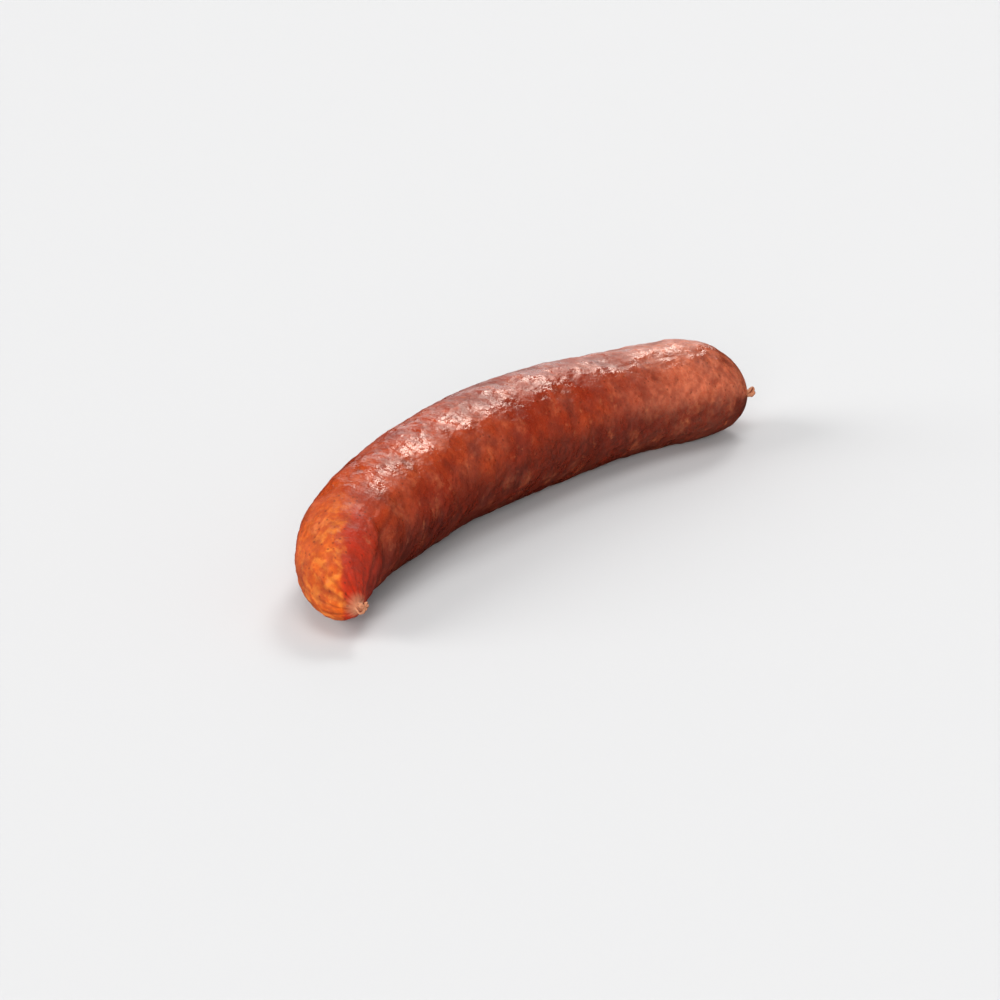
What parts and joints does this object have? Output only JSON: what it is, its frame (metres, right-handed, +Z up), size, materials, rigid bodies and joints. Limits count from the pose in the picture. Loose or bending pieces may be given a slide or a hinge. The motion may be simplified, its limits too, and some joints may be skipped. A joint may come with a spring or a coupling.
{
  "type": "smoked sausage link",
  "caption": "Bowed smoked sausage link in a natural casing, one end tapered and one end blunt, each gathered into a short twist of casing.",
  "frame": {"origin": "on the surface that the link lies on, under the middle of the link's bounding box", "axes": "+X along the chord from the tapered end to the blunt end, the hollow of the bow facing -Y, +Z up"},
  "size_m": [0.2032, 0.0524, 0.0354],
  "materials": {
    "casing": null
  },
  "bodies": {
    "root": {"sausage_link": "casing"}
  },
  "joints": []
}
